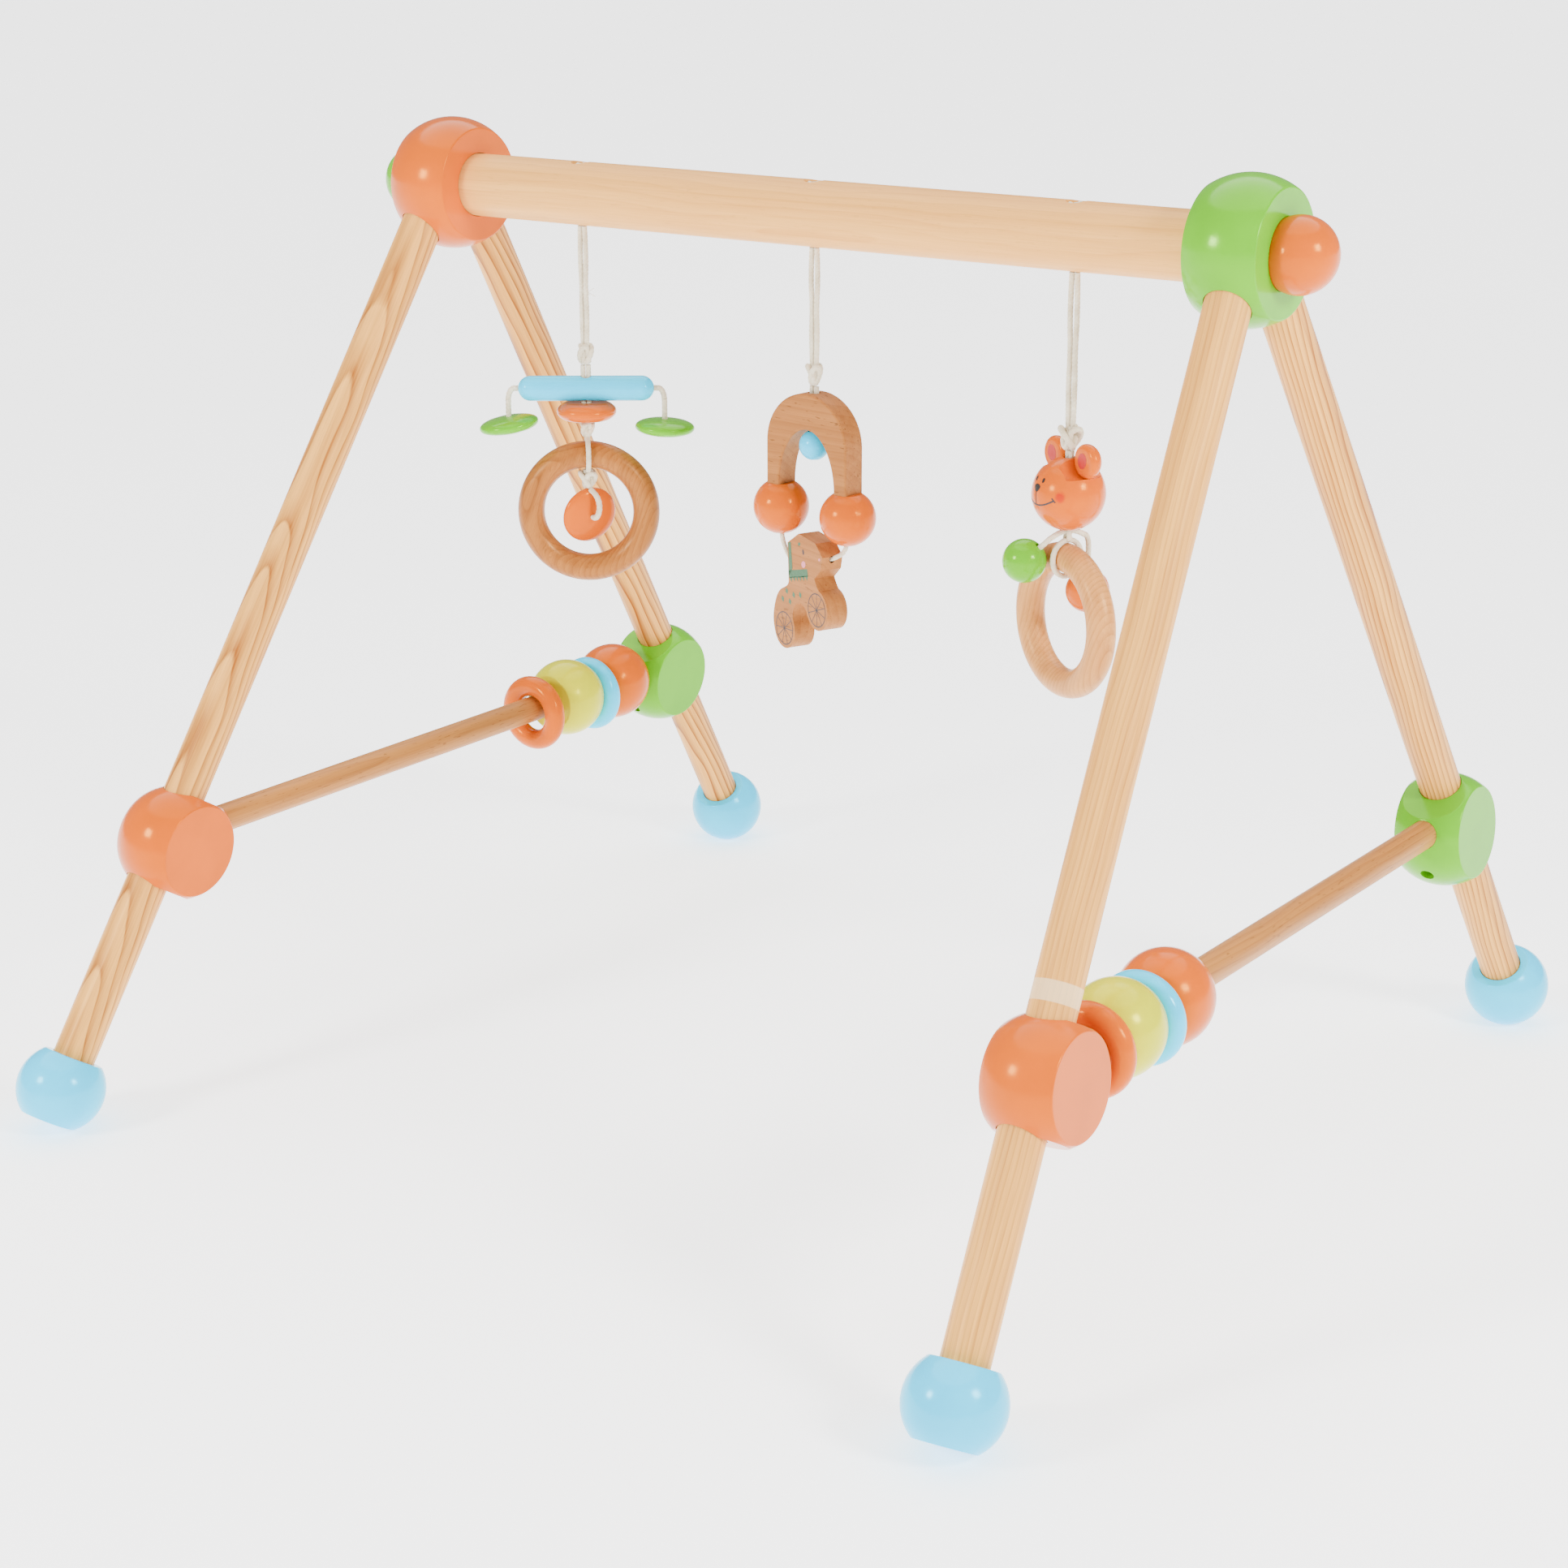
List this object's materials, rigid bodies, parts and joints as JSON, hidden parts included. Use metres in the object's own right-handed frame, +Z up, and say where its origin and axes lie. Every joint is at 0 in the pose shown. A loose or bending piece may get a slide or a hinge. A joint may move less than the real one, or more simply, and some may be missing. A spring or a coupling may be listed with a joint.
{
  "type": "activity play gym",
  "caption": "wooden baby activity gym: A-frame dowel legs joined by turned balls, a crossbar with three hanging cord toys, and two side rods with sliding beads",
  "frame": {"origin": "on the floor, at the middle of the overall box", "axes": "+Z up, X along the crossbar with +X to the right, -Y the front"},
  "size_m": [0.598, 0.62, 0.497],
  "materials": {
    "beech": "clear varnish over pale beech",
    "pine": "clear varnish over pine with strong grain",
    "orange_lacquer": "gloss lacquer on a turned ball",
    "green_lacquer": "gloss lacquer on a turned ball",
    "blue_lacquer": "gloss lacquer on turned wood",
    "yellow_lacquer": "gloss lacquer on a turned ball",
    "cotton_cord": "off-white braided cotton",
    "zinc_plate": "zinc plated",
    "toy_beech": "oiled beech with painted details"
  },
  "bodies": {
    "frame": {"crossbar": "beech", "top_ball_left": "orange_lacquer", "top_ball_right": "green_lacquer", "end_knob_left": "green_lacquer", "end_knob_right": "orange_lacquer", "hanger_bolts": "zinc_plate", "leg_front_left": "pine", "leg_front_right": "pine", "leg_back_left": "pine", "leg_back_right": "pine", "mid_ball_front_left": "orange_lacquer", "mid_ball_front_right": "orange_lacquer", "mid_ball_back_left": "green_lacquer", "mid_ball_back_right": "green_lacquer", "foot_front_left": "blue_lacquer", "foot_front_right": "blue_lacquer", "foot_back_left": "blue_lacquer", "foot_back_right": "blue_lacquer", "side_rod_left": "beech", "side_rod_right": "beech", "lock_screws": "zinc_plate", "cord_anchors": "cotton_cord"},
    "bead_left_orange_ball": {"bead_left_orange_ball": "orange_lacquer"},
    "bead_left_blue_ring": {"bead_left_blue_ring": "blue_lacquer"},
    "bead_left_yellow_ball": {"bead_left_yellow_ball": "yellow_lacquer"},
    "bead_left_orange_ring": {"bead_left_orange_ring": "orange_lacquer"},
    "bead_right_orange_ring": {"bead_right_orange_ring": "orange_lacquer"},
    "bead_right_yellow_ball": {"bead_right_yellow_ball": "yellow_lacquer"},
    "bead_right_blue_ring": {"bead_right_blue_ring": "blue_lacquer"},
    "bead_right_orange_ball": {"bead_right_orange_ball": "orange_lacquer"},
    "left_line": {"left_cord": "cotton_cord"},
    "left_bar": {"left_inner_cord": "cotton_cord", "spreader_bar": "blue_lacquer", "spreader_cord": "cotton_cord", "orange_disc": "orange_lacquer"},
    "left_disc_a": {"disc_cord_left": "cotton_cord", "green_disc_left": "green_lacquer"},
    "left_disc_b": {"disc_cord_right": "cotton_cord", "green_disc_right": "green_lacquer"},
    "left_ring": {"grasp_ring_left": "toy_beech"},
    "left_ring_disc": {"ring_disc": "orange_lacquer", "ring_disc_cord": "cotton_cord"},
    "middle_line": {"middle_cord": "cotton_cord"},
    "middle_arch": {"middle_inner_cord": "cotton_cord", "arch": "beech", "arch_ball_left": "orange_lacquer", "arch_ball_right": "orange_lacquer", "animal_cord": "cotton_cord"},
    "middle_bead": {"blue_bead": "blue_lacquer"},
    "animal": {"wooden_animal": "toy_beech"},
    "right_line": {"right_cord": "cotton_cord"},
    "bear": {"right_inner_cord": "cotton_cord", "bear_head": "orange_lacquer", "bear_ears": "orange_lacquer"},
    "right_ring": {"grasp_ring_right": "toy_beech"},
    "green_ball": {"green_ball": "green_lacquer", "green_ball_cord": "cotton_cord"},
    "orange_ball": {"orange_ball": "orange_lacquer", "orange_ball_cord": "cotton_cord"}
  },
  "joints": [
    {"name": "slide_right_orange_ring", "type": "slide", "parent": "frame", "child": "bead_right_orange_ring", "axis": [0, 1, 0], "range_m": [0, 0.14]},
    {"name": "slide_right_yellow_ball", "type": "slide", "parent": "bead_right_orange_ring", "child": "bead_right_yellow_ball", "axis": [0, 1, 0], "range_m": [0, 0.04]},
    {"name": "slide_right_blue_ring", "type": "slide", "parent": "bead_right_yellow_ball", "child": "bead_right_blue_ring", "axis": [0, 1, 0], "range_m": [0, 0.03]},
    {"name": "slide_right_orange_ball", "type": "slide", "parent": "bead_right_blue_ring", "child": "bead_right_orange_ball", "axis": [0, 1, 0], "range_m": [0, 0.04]},
    {"name": "slide_left_orange_ball", "type": "slide", "parent": "frame", "child": "bead_left_orange_ball", "axis": [0, -1, 0], "range_m": [0, 0.13]},
    {"name": "slide_left_blue_ring", "type": "slide", "parent": "bead_left_orange_ball", "child": "bead_left_blue_ring", "axis": [0, -1, 0], "range_m": [0, 0.04]},
    {"name": "slide_left_yellow_ball", "type": "slide", "parent": "bead_left_blue_ring", "child": "bead_left_yellow_ball", "axis": [0, -1, 0], "range_m": [0, 0.03]},
    {"name": "slide_left_orange_ring", "type": "slide", "parent": "bead_left_yellow_ball", "child": "bead_left_orange_ring", "axis": [0, -1, 0], "range_m": [-0.008, 0.04]},
    {"name": "left_swing", "type": "hinge", "parent": "frame", "child": "left_line", "pos_m": [-0.15, 0, 0.4455], "axis": [1, 0, 0], "range_deg": [-35, 35]},
    {"name": "middle_swing", "type": "hinge", "parent": "frame", "child": "middle_line", "pos_m": [0, 0, 0.4455], "axis": [1, 0, 0], "range_deg": [-35, 35]},
    {"name": "right_swing", "type": "hinge", "parent": "frame", "child": "right_line", "pos_m": [0.15, 0, 0.4455], "axis": [1, 0, 0], "range_deg": [-35, 35]},
    {"name": "left_twist", "type": "hinge", "parent": "left_line", "child": "left_bar", "pos_m": [-0.15, 0, 0.3718], "axis": [0, 0, 1], "range_deg": [-90, 90]},
    {"name": "left_disc_a_swing", "type": "hinge", "parent": "left_bar", "child": "left_disc_a", "pos_m": [-0.1839, -0.02463, 0.353], "axis": [-0.5878, 0.809, 0], "range_deg": [-30, 30]},
    {"name": "left_disc_b_swing", "type": "hinge", "parent": "left_bar", "child": "left_disc_b", "pos_m": [-0.1161, 0.02463, 0.353], "axis": [-0.5878, 0.809, 0], "range_deg": [-30, 30]},
    {"name": "left_ring_swing", "type": "hinge", "parent": "left_bar", "child": "left_ring", "pos_m": [-0.15, 0, 0.3232], "axis": [0.809, 0.5878, 0], "range_deg": [-35, 35]},
    {"name": "left_ring_disc_swing", "type": "hinge", "parent": "left_bar", "child": "left_ring_disc", "pos_m": [-0.15, 0, 0.3042], "axis": [0.809, 0.5878, 0], "range_deg": [-28, 5]},
    {"name": "middle_twist", "type": "hinge", "parent": "middle_line", "child": "middle_arch", "pos_m": [0, 0, 0.3757], "axis": [0, 0, 1], "range_deg": [-90, 90]},
    {"name": "middle_bead_spin", "type": "hinge", "parent": "middle_arch", "child": "middle_bead", "pos_m": [0, 0, 0.3456], "axis": [0, 0, 1], "continuous": true},
    {"name": "animal_swing", "type": "hinge", "parent": "middle_arch", "child": "animal", "pos_m": [0, 0, 0.284], "axis": [0.8713, -0.3879, 0.3007], "range_deg": [-35, 35]},
    {"name": "right_twist", "type": "hinge", "parent": "right_line", "child": "bear", "pos_m": [0.15, 0, 0.3604], "axis": [0, 0, 1], "range_deg": [-90, 90]},
    {"name": "right_ring_swing", "type": "hinge", "parent": "bear", "child": "right_ring", "pos_m": [0.15, 0, 0.3076], "axis": [0.8988, -0.4384, 0], "range_deg": [-12, 35]},
    {"name": "green_ball_swing", "type": "hinge", "parent": "bear", "child": "green_ball", "pos_m": [0.14461, -0.01106, 0.3196], "axis": [-0.8988, 0.4384, 0], "range_deg": [0, 60]},
    {"name": "orange_ball_swing", "type": "hinge", "parent": "bear", "child": "orange_ball", "pos_m": [0.15539, 0.01106, 0.3196], "axis": [0.8988, -0.4384, 0], "range_deg": [0, 60]}
  ]
}
